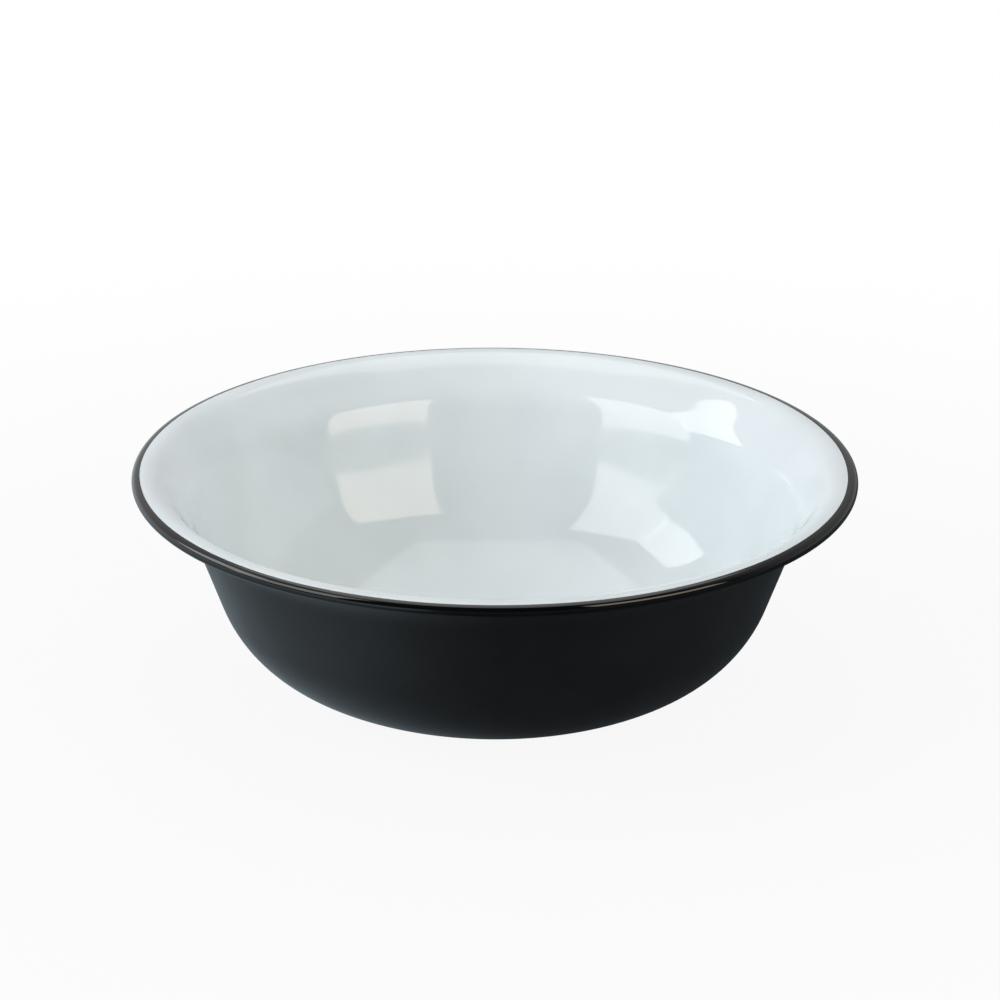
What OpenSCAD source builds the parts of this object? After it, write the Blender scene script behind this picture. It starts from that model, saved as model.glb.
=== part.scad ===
// Enamelled steel basin bowl with a rolled rim.
// The origin is at the middle of the ring it stands on, and +Z points up.

/* [Overall] */
// Diameter over the rim bead
rim_d = 290; // [260:1:340]
// Height from the table to the top of the rim
height = 90; // [80:1:110]

/* [Sheet and coats] */
// Thickness of the pressed steel sheet
sheet_t = 0.6; // [0.4:0.05:0.9]
// Thickness of the dark ground coat, which covers the sheet all over
ground_t = 0.15; // [0.1:0.01:0.25]
// Thickness of the white cover coat inside
white_t = 0.25; // [0.15:0.01:0.4]
// Thickness of the black cover coat outside
black_t = 0.25; // [0.15:0.01:0.4]
// Thickness of the black edging on the bead
edging_t = 0.25; // [0.15:0.01:0.4]

/* [Rim] */
// Diameter of the rim bead over its coats
bead_d = 4.8; // [4.2:0.1:7]
// Angle through which the edge of the sheet is curled to make the bead
curl_angle = 275; // [240:1:278]
// Angle by which the shoulder falls towards the bead
rim_dip_angle = 16; // [4:1:22]
// Radius of the rounded shoulder behind the bead, at the middle of the sheet
shoulder_r = 10.5; // [8:0.5:16]
// Width of the edging on the shoulder, behind the bead
edging_reach = 2; // [0.5:0.1:4]

/* [Wall] */
// Slope of the flared band under the shoulder
flare_angle = 52.5; // [44:0.5:58]
// Length of the flared band, between its two bends
flare_l = 12; // [6:0.5:16]
// Radius of the bend between the flared band and the wall, at the middle of the sheet
flare_r = 16; // [10:1:30]
// Slope of the wall
wall_angle = 70; // [64:0.5:78]
// Length of the straight wall
wall_l = 35.5; // [26:0.5:42]

/* [Base] */
// Slope of the sheet where the side turns into the bottom curve
bottom_angle = 32; // [20:1:36]
// Radius of the bottom curve, at the middle of the sheet
bottom_r = 75; // [55:1:85]
// Width of the flat ring that the bowl stands on
stand_w = 4; // [2:0.5:8]
// Height by which the middle of the base is pushed up
base_rise = 1.2; // [0.6:0.1:2.4]
// Radius of the two bends of the push-up, at the middle of the sheet
step_r = 8; // [4:0.5:14]

/* [Hidden] */
$fn = 180;
bend_facet_angle = 3;
curl_facet_angle = 12.5;

// The bowl is drawn from one line, in the middle of the sheet, that runs from the axis to the lip of
// the curl. A slope is the angle at which the line climbs outwards. Every layer lies between two
// distances from the line, and a distance is positive towards the inside of the bowl.
function along(slope) = [cos(slope), sin(slope)];
function across(slope) = [-sin(slope), cos(slope)];

// Faces of the layers, as distances from the line
steel_face = sheet_t / 2;
ground_face = steel_face + ground_t;
white_face = ground_face + white_t;
black_face = ground_face + black_t;
edging_face = ground_face + edging_t;

// The curl turns about the middle of the bead, and the shoulder stands a little above the bead
curl_r = bead_d / 2 - edging_face;
shoulder_rise = (shoulder_r - curl_r) * (1 - cos(rim_dip_angle));
curl_at = [rim_d / 2 - bead_d / 2, height - bead_d / 2 - shoulder_rise];
curl_start = curl_at + curl_r * across(-rim_dip_angle);
lip_slope = -rim_dip_angle - curl_angle;
lip_coat_angle = ground_t / curl_r * 180 / PI;
coated_lip_slope = lip_slope - lip_coat_angle;

// Shoulder, then the flared band, then the bend that turns the band into the wall
shoulder_at = curl_start - shoulder_r * across(-rim_dip_angle);
edging_slope = -rim_dip_angle + edging_reach / (shoulder_r + edging_face) * 180 / PI;
shoulder_foot = shoulder_at + shoulder_r * across(flare_angle);
flare_foot = shoulder_foot - flare_l * along(flare_angle);
flare_at = flare_foot - flare_r * across(flare_angle);
wall_top = flare_at + flare_r * across(wall_angle);

// Straight wall
wall_foot = wall_top - wall_l * along(wall_angle);

// The side is one arc that takes up the height left between the wall and the bottom curve
side_rise = wall_foot.y - black_face - bottom_r * (1 - cos(bottom_angle));
side_r = side_rise / (cos(bottom_angle) - cos(wall_angle));
side_at = wall_foot + side_r * across(wall_angle);
bottom_top = side_at - side_r * across(bottom_angle);
bottom_at = bottom_top + bottom_r * across(bottom_angle);

// Standing ring and push-up
stand_outer = bottom_at.x;
stand_inner = stand_outer - stand_w;
step_angle = acos(1 - base_rise / (2 * step_r));
step_low_at = [stand_inner, black_face + step_r];
base_r = stand_inner - 2 * step_r * sin(step_angle);
base_line = black_face + base_rise;
step_high_at = [base_r, base_line - step_r];

// The bends of the line, each with its centre, its radius, the slopes it runs between, the angle
// between two points of its outline, and whether a straight stretch comes before it. A radius is
// positive where the sheet arches over its centre and negative where it is dished about it.
function bowl_bends(shoulder_slope) = [
    [step_high_at, step_r, 0, -step_angle, bend_facet_angle, true],
    [step_low_at, -step_r, -step_angle, 0, bend_facet_angle, false],
    [bottom_at, -bottom_r, 0, bottom_angle, bend_facet_angle, true],
    [side_at, -side_r, bottom_angle, wall_angle, bend_facet_angle, false],
    [flare_at, flare_r, wall_angle, flare_angle, bend_facet_angle, true],
    [shoulder_at, shoulder_r, flare_angle, shoulder_slope, bend_facet_angle, true]
];
function curl_bend(end_slope) = [curl_at, curl_r, -rim_dip_angle, end_slope, curl_facet_angle, false];
edging_bend = [shoulder_at, shoulder_r, edging_slope, -rim_dip_angle, bend_facet_angle, true];

// Points of one face of a layer, at a distance from the line, along a list of bends
function bend_points(bend, distance) =
    let (turn = bend[3] - bend[2], steps = ceil(abs(turn) / bend[4]))
    [for (k = [(bend[5] ? 0 : 1):steps])
        bend[0] + (bend[1] + distance) * across(bend[2] + turn * k / steps)];
function face_points(bends, distance) = [for (bend = bends) each bend_points(bend, distance)];
function reversed(points) = [for (k = [len(points) - 1:-1:0]) points[k]];

// Section of a layer between two distances from the line
module layer(bends, low, high)
    polygon(concat(face_points(bends, low), reversed(face_points(bends, high))));

// The same for a layer that starts at the axis, where it is flat
module layer_from_axis(bends, low, high)
    polygon(concat([[0, base_line + low]], face_points(bends, low),
                   reversed(face_points(bends, high)), [[0, base_line + high]]));

whole_sheet = concat(bowl_bends(-rim_dip_angle), [curl_bend(lip_slope)]);
whole_coat = concat(bowl_bends(-rim_dip_angle), [curl_bend(coated_lip_slope)]);

module sheet_section()
    layer_from_axis(whole_sheet, -steel_face, steel_face);

// Pressed bowl with the edge of the sheet curled into a hollow bead
module steel_bowl()
    color("silver")
        rotate_extrude()
            sheet_section();

// Dark first coat, fused over both faces of the sheet and round its lip
module ground_coat()
    color("midnightblue")
        rotate_extrude()
            difference() {
                layer_from_axis(whole_coat, -ground_face, ground_face);
                sheet_section();
            }

// White coat of the inside, from the middle of the base to the edging
module white_enamel_inside()
    color("whitesmoke")
        rotate_extrude()
            layer_from_axis(bowl_bends(edging_slope), ground_face, white_face);

// Black coat of the outside, which stops against the curl under the shoulder
module black_enamel_outside()
    color("black")
        rotate_extrude()
            difference() {
                layer_from_axis(bowl_bends(-rim_dip_angle), -black_face, -ground_face);
                translate(curl_at)
                    circle(r = curl_r + ground_face);
            }

// Black band that is run round the bead by hand
module black_rim_edging()
    color("dimgray")
        rotate_extrude()
            layer([edging_bend, curl_bend(coated_lip_slope)], ground_face, edging_face);

steel_bowl();
ground_coat();
white_enamel_inside();
black_enamel_outside();
black_rim_edging();
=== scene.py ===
import math
import bpy
import numpy as np
from mathutils import Matrix, Vector


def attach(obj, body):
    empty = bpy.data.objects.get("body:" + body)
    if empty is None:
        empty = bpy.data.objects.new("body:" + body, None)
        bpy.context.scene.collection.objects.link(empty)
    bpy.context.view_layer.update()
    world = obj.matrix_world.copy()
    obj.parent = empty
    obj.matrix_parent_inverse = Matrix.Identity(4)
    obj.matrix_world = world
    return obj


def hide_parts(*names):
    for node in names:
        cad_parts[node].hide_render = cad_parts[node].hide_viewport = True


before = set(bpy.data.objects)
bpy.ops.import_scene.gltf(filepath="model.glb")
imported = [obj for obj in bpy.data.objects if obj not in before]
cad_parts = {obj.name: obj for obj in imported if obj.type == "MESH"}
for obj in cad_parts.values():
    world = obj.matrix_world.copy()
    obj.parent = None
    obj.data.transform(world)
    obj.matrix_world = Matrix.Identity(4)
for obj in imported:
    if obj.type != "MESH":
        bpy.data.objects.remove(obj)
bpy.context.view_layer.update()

mm = 0.001
around = 360  # steps round the bowl
turn = np.arange(around) * 2 * np.pi / around  # 0 is right in the picture, 270 degrees is the front


def toLinear(hexText):
    # sRGB curve: a straight start, then ((value + 0.055) / 1.055) to the power 2.4
    parts = [int(hexText[k:k + 2], 16) / 255 for k in (0, 2, 4)]
    return (*[p / 12.92 if p <= 0.04045 else ((p + 0.055) / 1.055) ** 2.4 for p in parts], 1.0)


def addNode(tree, kind, inputs=None, **settings):
    # an input is linked if it is another node's socket, and set if it is a value; in a Mix node
    # input 0 is the share, 2 and 3 are the two numbers, and 6 and 7 the two colours
    node = tree.nodes.new(kind)
    for name, value in settings.items():
        setattr(node, name, value)
    for name, value in (inputs or {}).items():
        if isinstance(value, bpy.types.NodeSocket):
            tree.links.new(value, node.inputs[name])
        else:
            node.inputs[name].default_value = value
    return node


# The line in the middle of the sheet, from the axis to the lip of the curl, as the CAD has it.
# The steps are the degrees between two points of a bend that shows, of the curl and of a hidden face,
# capPoints lie round the border of a coat, and an edge past the crease angle is shaded sharp.
bowl = dict(rimDiameter=290, height=90, sheet=0.6, groundCoat=0.15, coverCoat=0.25,
            beadDiameter=4.8, curlAngle=275, rimDip=16, shoulderRadius=10.5,
            flareAngle=52.5, flareLength=12, flareRadius=16, wallAngle=70, wallLength=35.5,
            bottomAngle=32, bottomRadius=75, standWidth=4, baseRise=1.2, stepRadius=8,
            bendStep=2.0, curlStep=6.0, hiddenStep=4.0, capPoints=5, crease=50)


def across(slope):
    # unit step off a sheet that climbs at this slope: (-sin, cos)
    slope = np.radians(slope)
    return np.stack([-np.sin(slope), np.cos(slope)], axis=-1)


def along(slope):
    # unit step up a sheet that climbs at this slope: (cos, sin)
    slope = np.radians(slope)
    return np.stack([np.cos(slope), np.sin(slope)], axis=-1)


def sheetLine(b):
    # every bend is (centre, radius, slope from, slope to): plus arches over, minus is dished
    ground = b["sheet"] / 2 + b["groundCoat"]
    cover = ground + b["coverCoat"]
    curlRadius = b["beadDiameter"] / 2 - cover
    rise = (b["shoulderRadius"] - curlRadius) * (1 - math.cos(math.radians(b["rimDip"])))
    curlAt = np.array([b["rimDiameter"] / 2 - b["beadDiameter"] / 2,
                       b["height"] - b["beadDiameter"] / 2 - rise])
    shoulderAt = curlAt + (curlRadius - b["shoulderRadius"]) * across(-b["rimDip"])
    flareAt = (shoulderAt + (b["shoulderRadius"] - b["flareRadius"]) * across(b["flareAngle"])
               - b["flareLength"] * along(b["flareAngle"]))
    wallFoot = (flareAt + b["flareRadius"] * across(b["wallAngle"])
                - b["wallLength"] * along(b["wallAngle"]))
    cosBottom = math.cos(math.radians(b["bottomAngle"]))
    cosWall = math.cos(math.radians(b["wallAngle"]))
    sideRise = wallFoot[1] - cover - b["bottomRadius"] * (1 - cosBottom)
    sideRadius = sideRise / (cosBottom - cosWall)
    sideAt = wallFoot + sideRadius * across(b["wallAngle"])
    bottomAt = sideAt + (b["bottomRadius"] - sideRadius) * across(b["bottomAngle"])
    ring = bottomAt[0] - b["standWidth"]
    step = b["stepRadius"]
    stepAngle = math.degrees(math.acos(1 - b["baseRise"] / (2 * step)))
    baseRadius = ring - 2 * step * math.sin(math.radians(stepAngle))
    bends = [(np.array([baseRadius, cover + b["baseRise"] - step]), step, 0, -stepAngle),
             (np.array([ring, cover + step]), -step, -stepAngle, 0),
             (bottomAt, -b["bottomRadius"], 0, b["bottomAngle"]),
             (sideAt, -sideRadius, b["bottomAngle"], b["wallAngle"]),
             (flareAt, b["flareRadius"], b["wallAngle"], b["flareAngle"])]
    return dict(bends=bends, ground=ground, cover=cover, curlRadius=curlRadius, curlAt=curlAt,
                shoulderAt=shoulderAt, wallFoot=wallFoot, baseLine=cover + b["baseRise"])


line = sheetLine(bowl)
shoulder = bowl["shoulderRadius"]
lipSlope = (-bowl["rimDip"] - bowl["curlAngle"]
            - math.degrees(bowl["groundCoat"] / line["curlRadius"]))


def facePoints(bends, distance, step):
    # arc of each bend at a distance from the line: centre + (radius + distance) * across(slope);
    # a slope may differ round the bowl, and the result is (around, points, 2)
    rows = []
    for centre, radius, slopeFrom, slopeTo in bends:
        slopeFrom, slopeTo = np.reshape(slopeFrom, (-1, 1)), np.reshape(slopeTo, (-1, 1))
        count = int(np.ceil(np.abs(slopeTo - slopeFrom).max() / step)) + 1
        slopes = slopeFrom + (slopeTo - slopeFrom) * np.linspace(0, 1, count)
        points = centre + (radius + distance) * across(slopes)
        points = np.broadcast_to(points, (around, count, 2))
        if rows and np.allclose(rows[-1][:, -1], points[:, 0], atol=1e-6):
            points = points[:, 1:]  # two bends that meet share a point
        rows.append(points)
    return np.concatenate(rows, axis=1)


def roundedEnd(centre, radius, slope, near, far, heading):
    # half circle that closes a coat's border, from the near face round to the far one:
    # middle + half the coat * (cos across + sin along)
    slope = np.reshape(slope, (-1, 1))
    middle = centre + (radius + (near + far) / 2) * across(slope)
    swing = np.linspace(0, np.pi, bowl["capPoints"] + 2)[1:-1, None]
    cap = (middle + (near - far) / 2 * np.cos(swing) * across(slope)
           + abs(far - near) / 2 * np.sin(swing) * heading * along(slope))
    return np.broadcast_to(cap, (around, len(swing), 2))


def onAxis(height):
    return np.broadcast_to(np.array([[0.0, height]]), (around, 1, 2))


def revolve(name, section, startsOnAxis):
    # (r, z) of each section point is turned about Z: x = r cos a, y = r sin a
    rings = section[:, 1:-1] if startsOnAxis else section
    count = rings.shape[1]
    points = np.stack([rings[..., 0] * np.cos(turn)[:, None], rings[..., 0] * np.sin(turn)[:, None],
                       rings[..., 1]], axis=-1).reshape(-1, 3)
    here = np.arange(around)[:, None] * count
    there = (np.arange(around)[:, None] + 1) % around * count
    first = np.arange(count if not startsOnAxis else count - 1)[None, :]
    second = (first + 1) % count
    faces = np.stack([here + first, there + first, there + second, here + second],
                     axis=-1).reshape(-1, 4).tolist()
    if startsOnAxis:
        # the first and last ring close on one point each
        low, high = len(points), len(points) + 1
        points = np.vstack([points, [0, 0, section[0, 0, 1]], [0, 0, section[0, -1, 1]]])
        here, there = here[:, 0], there[:, 0]
        faces += np.stack([np.full(around, low), there, here], axis=-1).tolist()
        faces += np.stack([here + count - 1, there + count - 1, np.full(around, high)],
                          axis=-1).tolist()
    mesh = bpy.data.meshes.new(name)
    mesh.from_pydata((points * mm).tolist(), [], faces)
    mesh.shade_smooth()
    mesh.set_sharp_from_angle(angle=math.radians(bowl["crease"]))
    piece = bpy.data.objects.new(name, mesh)
    bpy.context.scene.collection.objects.link(piece)
    print(name, len(mesh.polygons), "faces")
    return piece


# The black edging is run on by hand, so its border on the shoulder wanders: it reaches further at the
# right (lean) and less at the front, and wavers in (waves round the bowl, size, start)
edging = dict(reach=2.08, lean=0.40, front=1.45, frontPower=1.5,
              waver=((3, 0.07, 1.1), (7, 0.05, 0.4), (13, 0.03, 2.0), (29, 0.015, 0.0)))
reach = (edging["reach"] + edging["lean"] * np.cos(turn)
         - edging["front"] * np.clip(-np.sin(turn), 0, 1) ** edging["frontPower"])
for waves, size, start in edging["waver"]:
    reach = reach + size * np.sin(waves * turn + start)
halfCoat = bowl["coverCoat"] / 2
borderSlope = -bowl["rimDip"] + np.degrees(reach / (shoulder + line["cover"]))
halfSlope = math.degrees(halfCoat / (shoulder + line["cover"]))


# A fired face has no line where a bend of the sheet starts, so it is softened along its length, by a
# Gaussian of this width on samples at this spacing, window samples each way. The white glaze lies
# thicker in two low hoops, each (from the wall's foot, half width, height), which fade out between two
# sines of the turn, towards the front. The face runs on for the overrun, in degrees, past its border.
# turnStep and longStep, in degrees and millimetres, are the most between two points of the mesh.
glaze = dict(soften=3.2, hoops=((-8, 16, 0.12), (36, 27, 0.48)), hoopFade=(-0.30, 0.20),
             spacing=0.2, window=60, bendSamples=400, overrun=25, stopSamples=6401,
             turnStep=2.5, longStep=2.2, endPower=8)
hoopShare = np.clip((np.sin(turn) - glaze["hoopFade"][0]) / np.ptp(glaze["hoopFade"]), 0, 1)
hoopShare = hoopShare ** 2 * (3 - 2 * hoopShare)  # smooth step


def softFace(distance, lastSlope, hoops=()):
    # points of a whole face, (around, points, 2), that ends on the shoulder at lastSlope
    last = float(np.min(lastSlope)) - glaze["overrun"]
    bends = line["bends"] + [(line["shoulderAt"], shoulder, bowl["flareAngle"], last)]
    spots, slopes = [np.array([[0.0, line["baseLine"] + distance]])], [np.zeros(1)]
    for centre, radius, slopeFrom, slopeTo in bends:
        bend = np.linspace(slopeFrom, slopeTo, glaze["bendSamples"])
        spots.append(centre + (radius + distance) * across(bend))
        slopes.append(bend)
    spots, slopes = np.concatenate(spots), np.concatenate(slopes)
    length = np.concatenate([[0], np.cumsum(np.linalg.norm(np.diff(spots, axis=0), axis=1))])
    even = np.arange(0, length[-1], glaze["spacing"])
    slope = np.interp(even, length, slopes)
    face = np.stack([np.interp(even, length, spots[:, k]) for k in (0, 1)], axis=-1)

    # soft = 2 g - g * g: a Gaussian, with the sag that it brings taken out again
    window = glaze["window"]
    bell = np.exp(-0.5 * (np.arange(-window, window + 1) * glaze["spacing"] / glaze["soften"]) ** 2)
    bell /= bell.sum()

    def soften(values):
        # past each end the face goes on as its own image, turned about the end point
        start = 2 * values[0] - values[window:0:-1]
        end = 2 * values[-1] - values[-2:-window - 2:-1]
        return np.convolve(np.concatenate([start, values, end]), bell, mode="valid")

    once = np.stack([soften(face[:, k]) for k in (0, 1)], axis=-1)
    face = 2 * once - np.stack([soften(once[:, k]) for k in (0, 1)], axis=-1)
    wallFoot = line["wallFoot"] + distance * across(bowl["wallAngle"])
    foot = even[np.argmin(np.linalg.norm(face - wallFoot, axis=1))]
    lift = np.zeros_like(face)
    for middle, halfWidth, height in hoops:
        # a hoop is height * cos^2 of its half turn, off the face
        part = np.clip((even - foot - middle) / halfWidth, -1, 1)
        lift += (height * np.cos(part * np.pi / 2) ** 2)[:, None] * across(slope)

    # points lie closer where the face turns, and the last of them stretch to each end of the border
    crowd = np.cumsum(np.abs(np.gradient(slope)) / glaze["turnStep"]
                      + glaze["spacing"] / glaze["longStep"])
    falls = even > foot + bowl["wallLength"]
    ends = np.reshape(np.interp(-np.reshape(lastSlope, -1), -slope[falls], even[falls]), (-1, 1))
    lastCrowd = np.interp(ends.mean(), even, crowd)
    share = np.linspace(0, 1, int(lastCrowd))
    stops = np.interp(share * lastCrowd, crowd, even)
    stops[0] = 0
    stops = stops + (ends - stops[-1]) * share ** glaze["endPower"]
    return np.stack([np.interp(stops, even, face[:, k])
                     + hoopShare[:, None] * np.interp(stops, even, lift[:, k])
                     for k in (0, 1)], axis=-1)


def makeWhiteInside():
    near, far = line["ground"], line["cover"]
    end = borderSlope + halfSlope
    bends = line["bends"] + [(line["shoulderAt"], shoulder, bowl["flareAngle"], end)]
    section = np.concatenate([
        onAxis(line["baseLine"] + near), facePoints(bends, near, bowl["hiddenStep"]),
        roundedEnd(line["shoulderAt"], shoulder, end, near, far, 1),
        softFace(far, end, glaze["hoops"])[:, :0:-1], onAxis(line["baseLine"] + far)], axis=1)
    return revolve("WhiteInsideCoat", section, True)


def makeBlackOutside():
    near, far = -line["cover"], -line["ground"]

    def stopSlope(distance):
        # the coat runs up the shoulder until it meets the coated curl
        slopes = np.linspace(bowl["flareAngle"], -bowl["rimDip"], glaze["stopSamples"])
        points = line["shoulderAt"] + (shoulder + distance) * across(slopes)
        apart = np.linalg.norm(points - line["curlAt"], axis=1)
        return slopes[np.argmax(apart <= line["curlRadius"] + line["ground"])]

    last = (line["shoulderAt"], shoulder, bowl["flareAngle"], stopSlope(far))
    outer = softFace(near, stopSlope(near))[:, 1:]
    outer[..., 1] = np.maximum(outer[..., 1], 0)  # the ring stands on the floor, not in it
    section = np.concatenate([
        onAxis(line["baseLine"] + near), outer,
        facePoints(line["bends"] + [last], far, bowl["hiddenStep"])[:, ::-1],
        onAxis(line["baseLine"] + far)], axis=1)
    return revolve("BlackOutsideCoat", section, True)


def makeBlackEdging():
    near, far = line["ground"], line["cover"]
    start = borderSlope - halfSlope
    end = lipSlope + math.degrees(halfCoat / (line["curlRadius"] + line["cover"]))
    shoulderBend = (line["shoulderAt"], shoulder, start, -bowl["rimDip"])
    curlBend = (line["curlAt"], line["curlRadius"], -bowl["rimDip"], end)

    def face(distance):
        return np.concatenate([facePoints([shoulderBend], distance, bowl["bendStep"]),
                               facePoints([curlBend], distance, bowl["curlStep"])[:, 1:]], axis=1)

    section = np.concatenate([
        face(near), roundedEnd(line["curlAt"], line["curlRadius"], end, near, far, 1),
        face(far)[:, ::-1], roundedEnd(line["shoulderAt"], shoulder, start, far, near, -1)], axis=1)
    return revolve("BlackRimEdging", section, False)


print("coats")
whiteInside = makeWhiteInside()
blackOutside = makeBlackOutside()
blackEdging = makeBlackEdging()
for piece, node, slot in ((whiteInside, "white_enamel_inside", "white_enamel"),
                          (blackOutside, "black_enamel_outside", "black_enamel"),
                          (blackEdging, "black_rim_edging", "edging_enamel")):
    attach(piece, "root")
    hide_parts(node)


print("materials")
# In each material a length is the size of one blotch, run or bubble in millimetres, a band is the part
# of the noise that is stretched from 0 to 1, so that a narrow one gives sharper blotches, and the
# roughness goes from its first number to its second over the blotches of the gloss


def newMaterial(name, shader):
    material = bpy.data.materials.new(name)
    material.use_nodes = True
    tree = material.node_tree
    surface = tree.nodes["Principled BSDF"]
    for socket, value in shader.items():
        surface.inputs[socket].default_value = value
    place = addNode(tree, "ShaderNodeTexCoord").outputs["Object"]
    return material, tree, surface, place


# White vitreous enamel, dipped and fired to glass: a cool white, thinner and greyer in places, glossy
# enough to mirror the lamps as pale patches, whose edges waver in the ripple of the glaze. The peel is
# drawn coarser than it is, so that it shows.
white = dict(colour="e1e9ea", thinner="dae2e3", patch=45, patchBand=(0.35, 0.65), ior=1.52,
             roughness=(0.0595, 0.0805), gloss=20, glossBand=(0.3, 0.7),
             ripple=38, rippleHeight=0.05, peel=5.5, peelHeight=0.004,
             speck="8d9494", speckSpacing=17, speckSize=0.28, speckCore=0.4, speckRarity=0.93)


def makeWhiteEnamel():
    material, tree, surface, place = newMaterial("WhiteVitreousEnamel", {"IOR": white["ior"]})
    patches = addNode(tree, "ShaderNodeTexNoise", {"Vector": place, "Scale": 1 / (white["patch"] * mm)})
    thin = addNode(tree, "ShaderNodeMapRange",
                   {"Value": patches.outputs["Fac"], "From Min": white["patchBand"][0],
                    "From Max": white["patchBand"][1]})
    glass = addNode(tree, "ShaderNodeMix",
                    {0: thin.outputs["Result"], 6: toLinear(white["colour"]),
                     7: toLinear(white["thinner"])}, data_type="RGBA")
    # a pinhole in the middle of a few cells, where gas left the glass
    cells = addNode(tree, "ShaderNodeTexVoronoi",
                    {"Vector": place, "Scale": 1 / (white["speckSpacing"] * mm)})
    rim = white["speckSize"] / white["speckSpacing"]
    dot = addNode(tree, "ShaderNodeMapRange", {"Value": cells.outputs["Distance"], "From Min": rim,
                                               "From Max": rim * white["speckCore"]})
    chance = addNode(tree, "ShaderNodeSeparateColor", {"Color": cells.outputs["Color"]})
    rare = addNode(tree, "ShaderNodeMath", {0: chance.outputs["Red"], 1: white["speckRarity"]},
                   operation="GREATER_THAN")
    speck = addNode(tree, "ShaderNodeMath", {0: dot.outputs["Result"], 1: rare.outputs[0]},
                    operation="MULTIPLY")
    speckled = addNode(tree, "ShaderNodeMix", {0: speck.outputs[0], 6: glass.outputs[2],
                                               7: toLinear(white["speck"])}, data_type="RGBA")
    tree.links.new(speckled.outputs[2], surface.inputs["Base Color"])
    smears = addNode(tree, "ShaderNodeTexNoise", {"Vector": place, "Scale": 1 / (white["gloss"] * mm)})
    gloss = addNode(tree, "ShaderNodeMapRange",
                    {"Value": smears.outputs["Fac"], "From Min": white["glossBand"][0],
                     "From Max": white["glossBand"][1], "To Min": white["roughness"][0],
                     "To Max": white["roughness"][1]})
    tree.links.new(gloss.outputs["Result"], surface.inputs["Roughness"])
    # long ripples of the dip, and the finer peel of the firing on top of them
    swell = addNode(tree, "ShaderNodeTexNoise",
                    {"Vector": place, "Scale": 1 / (white["ripple"] * mm), "Detail": 0})
    ripple = addNode(tree, "ShaderNodeBump",
                     {"Height": swell.outputs["Fac"], "Distance": white["rippleHeight"] * mm})
    grain = addNode(tree, "ShaderNodeTexNoise",
                    {"Vector": place, "Scale": 1 / (white["peel"] * mm), "Detail": 1})
    peel = addNode(tree, "ShaderNodeBump",
                   {"Height": grain.outputs["Fac"], "Distance": white["peelHeight"] * mm,
                    "Normal": ripple.outputs["Normal"]})
    tree.links.new(peel.outputs["Normal"], surface.inputs["Normal"])
    return material


# Black vitreous enamel of the outside: deep black, slightly cloudy, with a softer gloss than the
# inside, so that it gives back the floor as a blurred bluish sheen. Its peel is drawn coarse as well.
black = dict(colour="181919", cloud="1c1d1e", patch=30, patchBand=(0.35, 0.65), ior=1.5, shine=0.5,
             roughness=(0.187, 0.253), gloss=14, glossBand=(0.3, 0.7), peel=4, peelHeight=0.006)


def makeBlackEnamel():
    material, tree, surface, place = newMaterial(
        "BlackVitreousEnamel", {"IOR": black["ior"], "Specular IOR Level": black["shine"]})
    patches = addNode(tree, "ShaderNodeTexNoise", {"Vector": place, "Scale": 1 / (black["patch"] * mm)})
    cloudy = addNode(tree, "ShaderNodeMapRange",
                     {"Value": patches.outputs["Fac"], "From Min": black["patchBand"][0],
                      "From Max": black["patchBand"][1]})
    glass = addNode(tree, "ShaderNodeMix",
                    {0: cloudy.outputs["Result"], 6: toLinear(black["colour"]),
                     7: toLinear(black["cloud"])}, data_type="RGBA")
    tree.links.new(glass.outputs[2], surface.inputs["Base Color"])
    smears = addNode(tree, "ShaderNodeTexNoise", {"Vector": place, "Scale": 1 / (black["gloss"] * mm)})
    gloss = addNode(tree, "ShaderNodeMapRange",
                    {"Value": smears.outputs["Fac"], "From Min": black["glossBand"][0],
                     "From Max": black["glossBand"][1], "To Min": black["roughness"][0],
                     "To Max": black["roughness"][1]})
    tree.links.new(gloss.outputs["Result"], surface.inputs["Roughness"])
    grain = addNode(tree, "ShaderNodeTexNoise",
                    {"Vector": place, "Scale": 1 / (black["peel"] * mm), "Detail": 1})
    peel = addNode(tree, "ShaderNodeBump",
                   {"Height": grain.outputs["Fac"], "Distance": black["peelHeight"] * mm})
    tree.links.new(peel.outputs["Normal"], surface.inputs["Normal"])
    return material


# Black edging enamel, brushed wet over the bead and fired last: the blackest and glossiest coat, whose
# low runs make the highlights on the bead uneven
edge = dict(colour="060607", ior=1.52, roughness=(0.056, 0.091), gloss=6, glossBand=(0.3, 0.7),
            run=9, runHeight=0.012)


def makeEdgingEnamel():
    material, tree, surface, place = newMaterial(
        "BlackEdgingEnamel", {"IOR": edge["ior"], "Base Color": toLinear(edge["colour"])})
    smears = addNode(tree, "ShaderNodeTexNoise", {"Vector": place, "Scale": 1 / (edge["gloss"] * mm)})
    gloss = addNode(tree, "ShaderNodeMapRange",
                    {"Value": smears.outputs["Fac"], "From Min": edge["glossBand"][0],
                     "From Max": edge["glossBand"][1], "To Min": edge["roughness"][0],
                     "To Max": edge["roughness"][1]})
    tree.links.new(gloss.outputs["Result"], surface.inputs["Roughness"])
    brushed = addNode(tree, "ShaderNodeTexNoise",
                      {"Vector": place, "Scale": 1 / (edge["run"] * mm), "Detail": 1})
    runs = addNode(tree, "ShaderNodeBump",
                   {"Height": brushed.outputs["Fac"], "Distance": edge["runHeight"] * mm})
    tree.links.new(runs.outputs["Normal"], surface.inputs["Normal"])
    return material


# Ground coat enamel: nearly black cobalt glass, a dull blue-black seen only inside the curl. Its
# bubbles are under 0.1 mm and are drawn larger, so that they show.
ground = dict(colour="10131b", bubbleColour="1b2130", bubble=0.9, bubbleBand=(0.45, 0.65), ior=1.5,
              roughness=0.3)


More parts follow.
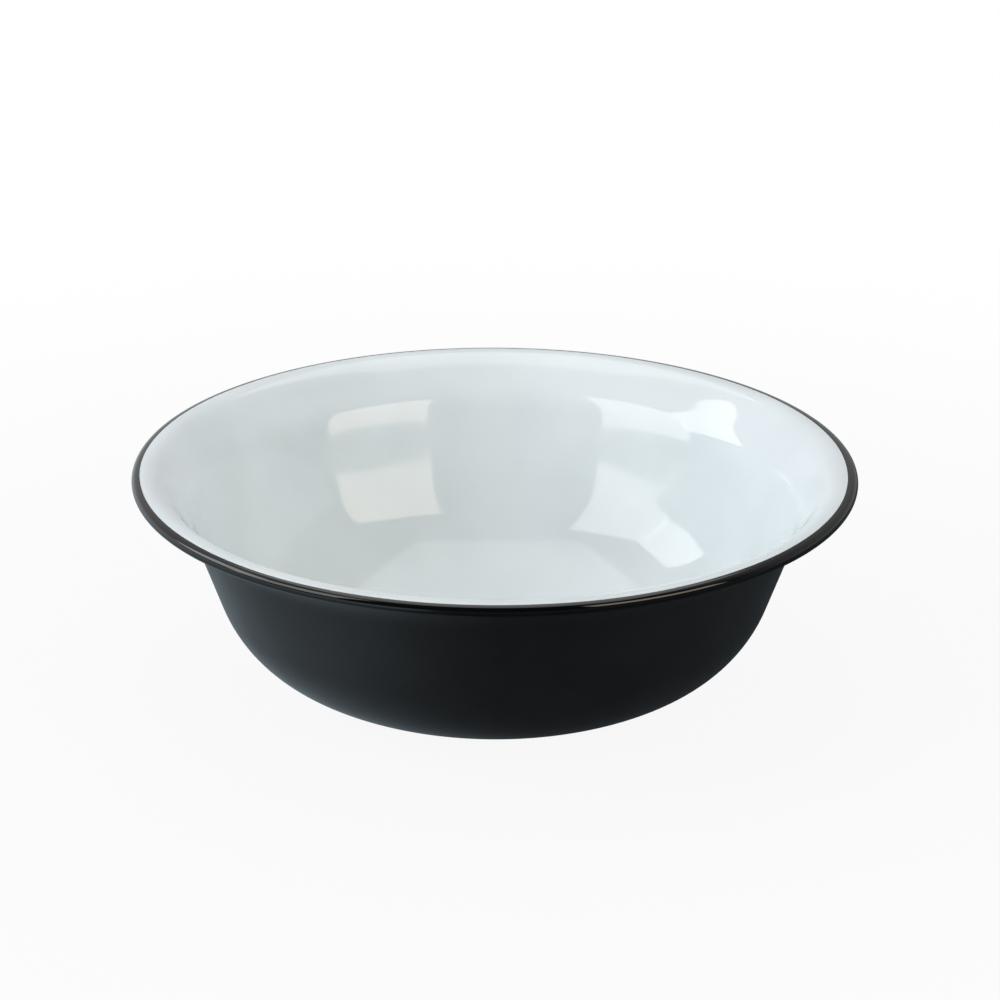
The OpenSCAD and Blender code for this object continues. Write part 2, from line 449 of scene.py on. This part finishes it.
def makeGroundEnamel():
    material, tree, surface, place = newMaterial(
        "GroundCoatEnamel", {"IOR": ground["ior"], "Roughness": ground["roughness"]})
    foam = addNode(tree, "ShaderNodeTexNoise", {"Vector": place, "Scale": 1 / (ground["bubble"] * mm)})
    bubbles = addNode(tree, "ShaderNodeMapRange",
                      {"Value": foam.outputs["Fac"], "From Min": ground["bubbleBand"][0],
                       "From Max": ground["bubbleBand"][1]})
    glass = addNode(tree, "ShaderNodeMix",
                    {0: bubbles.outputs["Result"], 6: toLinear(ground["colour"]),
                     7: toLinear(ground["bubbleColour"])}, data_type="RGBA")
    tree.links.new(glass.outputs[2], surface.inputs["Base Color"])
    return material


# Deep-drawn steel sheet, wholly under its coats: grey metal, duller and darker in its drawing marks
steel = dict(colour="a9a9a6", dark="8f908e", mark=3, markBand=(0.3, 0.7), roughness=(0.304, 0.456))


def makeSteel():
    material, tree, surface, place = newMaterial("DrawnSteelSheet", {"Metallic": 1.0})
    drawing = addNode(tree, "ShaderNodeTexNoise",
                      {"Vector": place, "Scale": 1 / (steel["mark"] * mm), "Detail": 4})
    marks = addNode(tree, "ShaderNodeMapRange",
                    {"Value": drawing.outputs["Fac"], "From Min": steel["markBand"][0],
                     "From Max": steel["markBand"][1]})
    metal = addNode(tree, "ShaderNodeMix",
                    {0: marks.outputs["Result"], 6: toLinear(steel["colour"]),
                     7: toLinear(steel["dark"])}, data_type="RGBA")
    tree.links.new(metal.outputs[2], surface.inputs["Base Color"])
    gloss = addNode(tree, "ShaderNodeMapRange",
                    {"Value": marks.outputs["Result"], "To Min": steel["roughness"][0],
                     "To Max": steel["roughness"][1]})
    tree.links.new(gloss.outputs["Result"], surface.inputs["Roughness"])
    return material


whiteInside.data.materials.append(makeWhiteEnamel())
blackOutside.data.materials.append(makeBlackEnamel())
blackEdging.data.materials.append(makeEdgingEnamel())
for node, material in (("ground_coat", makeGroundEnamel()), ("steel_bowl", makeSteel())):
    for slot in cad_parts[node].material_slots:
        slot.material = material


print("studio")
# Two numbers are the ends of a change: shadow and painted shade by the distance from the bowl's middle,
# whiteBand along whiteSide, and the room's by height, depth or side of the direction, from -1 to 1. Of
# the levels, where 1 is white, dim and the three mirror ones are what the gloss sees, on the floor as a
# glow of painted light and painted shade, and the two fills are what lights the surfaces.
studio = dict(floorSize=14.0, floorColour="cbcbca", floorRoughness=0.9, floorShine=0.1,
              shadow=(0.20, 0.62), shadowWhite=0.92,
              whiteSide=(-0.95, 0.30, 0), whiteBand=(-0.05, 0.07), dim=0.06, nearMirror=0.36,
              shade=(0.2, 0.5), mirrorColour="e0f4ff",
              fillColour="f0f5ff", fill=0.70, highFill=0.12, fillHeights=(0.4, 0.8),
              backdrop=(-0.25, 0.25), skyline=0.35, backMirror=0.65,
              rightSide=(-0.3, 0.3), rightMirror=0.55)


def raysThatSee(tree):
    # 1 for the camera's rays, and 1 for those of the camera, a mirror or glass; both are 0 for the
    # rays that light a surface
    path = addNode(tree, "ShaderNodeLightPath").outputs
    seen = addNode(tree, "ShaderNodeMath", {0: path["Is Camera Ray"], 1: path["Is Glossy Ray"]},
                   operation="MAXIMUM").outputs[0]
    return path["Is Camera Ray"], addNode(tree, "ShaderNodeMath",
                                          {0: seen, 1: path["Is Transmission Ray"]},
                                          operation="MAXIMUM").outputs[0]


def makeFloor():
    size = studio["floorSize"] / 2
    mesh = bpy.data.meshes.new("StudioFloor")
    mesh.from_pydata([(-size, -size, 0), (size, -size, 0), (size, size, 0), (-size, size, 0)], [],
                     [(0, 1, 2, 3)])
    floor = bpy.data.objects.new("StudioFloor", mesh)
    bpy.context.scene.collection.objects.link(floor)
    material = bpy.data.materials.new("PalePaperFloor")
    material.use_nodes = True
    tree = material.node_tree
    paper = tree.nodes["Principled BSDF"]
    paper.inputs["Base Color"].default_value = toLinear(studio["floorColour"])
    paper.inputs["Roughness"].default_value = studio["floorRoughness"]
    paper.inputs["Specular IOR Level"].default_value = studio["floorShine"]
    # the eye sees plain white further out, and the bowl's soft shadow near it
    place = addNode(tree, "ShaderNodeTexCoord").outputs["Object"]
    away = addNode(tree, "ShaderNodeVectorMath", {0: place}, operation="LENGTH").outputs["Value"]
    lit = addNode(tree, "ShaderNodeMapRange",
                  {"Value": away, "From Min": studio["shadow"][0], "From Max": studio["shadow"][1],
                   "To Min": studio["shadowWhite"]}, interpolation_type="SMOOTHSTEP").outputs["Result"]
    # gloss sees a painted glow on the floor, not its lit paper: painted light, white behind the bowl
    # and at its left, and the dim side of the room at the camera
    side = addNode(tree, "ShaderNodeVectorMath", {0: place, 1: studio["whiteSide"]},
                   operation="DOT_PRODUCT").outputs["Value"]
    glow = addNode(tree, "ShaderNodeMapRange",
                   {"Value": side, "From Min": studio["whiteBand"][0],
                    "From Max": studio["whiteBand"][1], "To Min": studio["dim"],
                    "To Max": studio["nearMirror"]}, interpolation_type="SMOOTHSTEP").outputs["Result"]
    # in that glow the floor beside the bowl is dimmed as painted shade, and further out it is up to
    # white
    paintedShadeFade = addNode(tree, "ShaderNodeMapRange",
                       {"Value": away, "From Min": studio["shade"][0], "From Max": studio["shade"][1],
                        "To Min": 1, "To Max": 1 / studio["nearMirror"]}).outputs["Result"]
    glow = addNode(tree, "ShaderNodeMath", {0: glow, 1: paintedShadeFade}, operation="MULTIPLY").outputs[0]
    camera, seen = raysThatSee(tree)
    share = addNode(tree, "ShaderNodeMix", {0: camera, 2: seen, 3: lit}).outputs[0]
    strength = addNode(tree, "ShaderNodeMix", {0: camera, 2: glow, 3: 1.0}).outputs[0]
    tint = addNode(tree, "ShaderNodeMix",
                   {0: camera, 6: toLinear(studio["mirrorColour"]), 7: (1, 1, 1, 1)}, data_type="RGBA")
    # the eye sees this emission as plain white, the gloss as the bluish glow of painted light and
    # painted shade
    plain = addNode(tree, "ShaderNodeEmission", {"Color": tint.outputs[2], "Strength": strength})
    mixed = addNode(tree, "ShaderNodeMixShader", {0: share, 1: paper.outputs[0], 2: plain.outputs[0]})
    tree.links.new(mixed.outputs[0], tree.nodes["Material Output"].inputs["Surface"])
    mesh.materials.append(material)


def makeWorld():
    world = bpy.data.worlds.new("Studio")
    world.use_nodes = True
    bpy.context.scene.world = world
    tree = world.node_tree
    sky = tree.nodes["Background"]
    camera, seen = raysThatSee(tree)
    way = addNode(tree, "ShaderNodeTexCoord").outputs["Generated"]
    sideways, depth, height = addNode(tree, "ShaderNodeSeparateXYZ", {0: way}).outputs
    # the walls of the room give more light than its ceiling
    fill = addNode(tree, "ShaderNodeMapRange",
                   {"Value": height, "From Min": studio["fillHeights"][0],
                    "From Max": studio["fillHeights"][1], "To Min": studio["fill"],
                    "To Max": studio["highFill"]}).outputs["Result"]
    # in the gloss a white backdrop stands behind the bowl and the camera's side is dim
    behind = addNode(tree, "ShaderNodeMapRange",
                     {"Value": depth, "From Min": studio["backdrop"][0],
                      "From Max": studio["backdrop"][1], "To Min": studio["dim"],
                      "To Max": 1.0}).outputs["Result"]
    # the backdrop greys from the horizon up to the skyline, and to the right, where the room is darker
    above = addNode(tree, "ShaderNodeMapRange",
                    {"Value": height, "From Min": 0.0, "From Max": studio["skyline"], "To Min": 1.0,
                     "To Max": studio["backMirror"]}).outputs["Result"]
    behind = addNode(tree, "ShaderNodeMath", {0: behind, 1: above}, operation="MULTIPLY").outputs[0]
    right = addNode(tree, "ShaderNodeMapRange",
                    {"Value": sideways, "From Min": studio["rightSide"][0],
                     "From Max": studio["rightSide"][1], "To Min": 1.0,
                     "To Max": studio["rightMirror"]}).outputs["Result"]
    behind = addNode(tree, "ShaderNodeMath", {0: behind, 1: right}, operation="MULTIPLY").outputs[0]
    mirrored = addNode(tree, "ShaderNodeMath", {0: camera, 1: behind}, operation="MAXIMUM").outputs[0]
    level = addNode(tree, "ShaderNodeMix", {0: seen, 2: fill, 3: mirrored}).outputs[0]
    tint = addNode(tree, "ShaderNodeMix",
                   {0: seen, 6: toLinear(studio["fillColour"]), 7: (1, 1, 1, 1)}, data_type="RGBA")
    tree.links.new(tint.outputs[2], sky.inputs["Color"])
    tree.links.new(level, sky.inputs["Strength"])


# Softboxes, each a flat cloth: the azimuth at which it stands (0 is the camera's side, 90 the right),
# its lean above the horizon, how far away its plane is, its extent sideways and upwards in that
# plane, and the level at which the cloth glows
lamps = dict(
    rightBox=dict(facing=22, lean=0, away=0.9, sideways=(0.10, 1.03), upwards=(0.352, 0.88),
                  glow=3.3, colour="fff2e0"),
    leftBox=dict(facing=-30, lean=0, away=0.9, sideways=(-1.22, -0.25), upwards=(0.328, 1.25),
                 glow=3.05, colour="fcfcff"),
    farLeftBox=dict(facing=-98, lean=0, away=1.5, sideways=(-0.37, 0.42), upwards=(0.50, 1.40),
                    glow=3.4, colour="fcfcff"),
    overhead=dict(facing=0, lean=90, away=1.3, sideways=(-0.66, 0.58), upwards=(-0.33, 1.20),
                  glow=1.2, colour="ffffff"))


def addLamp(name, spec):
    light = bpy.data.lights.new(name, "AREA")
    light.shape = "RECTANGLE"
    light.size = spec["sideways"][1] - spec["sideways"][0]
    light.size_y = spec["upwards"][1] - spec["upwards"][0]
    # cloth that glows at 1 gives off pi watts for each square metre
    light.energy = spec["glow"] * math.pi * light.size * light.size_y
    light.color = toLinear(spec["colour"])[:3]
    lamp = bpy.data.objects.new(name, light)
    turned, raised = math.radians(spec["facing"]), math.radians(spec["lean"])
    out = Vector((math.sin(turned) * math.cos(raised), -math.cos(turned) * math.cos(raised),
                  math.sin(raised)))
    side = Vector((math.cos(turned), math.sin(turned), 0))
    up = out.cross(side)
    place = (out * spec["away"] + side * sum(spec["sideways"]) / 2 + up * sum(spec["upwards"]) / 2)
    lamp.matrix_world = Matrix.Translation(place) @ Matrix((side, up, out)).transposed().to_4x4()
    bpy.context.scene.collection.objects.link(lamp)
    lamp.visible_camera = False


makeFloor()
makeWorld()
for name, spec in lamps.items():
    addLamp(name, spec)

print("camera")
# distance, rimCentre and clip are in metres, elevation and roll in degrees, lens and sensor in
# millimetres, pixel and picture in pixels
view = dict(distance=1.7112, elevation=21.10, lens=153.93, sensor=36, picture=1000,
            pixel=(494.94, 472.21), roll=0.23, rimCentre=(0, 0, 0.08726), clip=(0.05, 40))


def addCamera():
    # looks at the rim's centre, then turns until that centre falls on its pixel
    camera = bpy.data.cameras.new("Camera")
    camera.lens, camera.sensor_width = view["lens"], view["sensor"]
    camera.clip_start, camera.clip_end = view["clip"]
    tilt = math.radians(view["elevation"])
    back = Vector((0, -math.cos(tilt), math.sin(tilt)))
    right = Vector((1, 0, 0))
    looking = Matrix((right, (-back).cross(right), -back))  # rows: right, down, forward
    focal = view["lens"] / view["sensor"] * view["picture"]
    offset = [(pixel - view["picture"] / 2) / focal for pixel in view["pixel"]]
    swing = Vector((0, 0, 1)).rotation_difference(Vector((*offset, 1)).normalized()).to_matrix()
    rows = swing @ Matrix.Rotation(math.radians(view["roll"]), 3, "Z") @ looking
    place = Vector(view["rimCentre"]) + back * view["distance"]
    holder = bpy.data.objects.new("Camera", camera)
    axes = Matrix((rows[0], -rows[1], -rows[2])).transposed().to_4x4()
    holder.matrix_world = Matrix.Translation(place) @ axes
    bpy.context.scene.collection.objects.link(holder)
    bpy.context.scene.camera = holder


addCamera()
bpy.context.scene.view_settings.view_transform = "Standard"
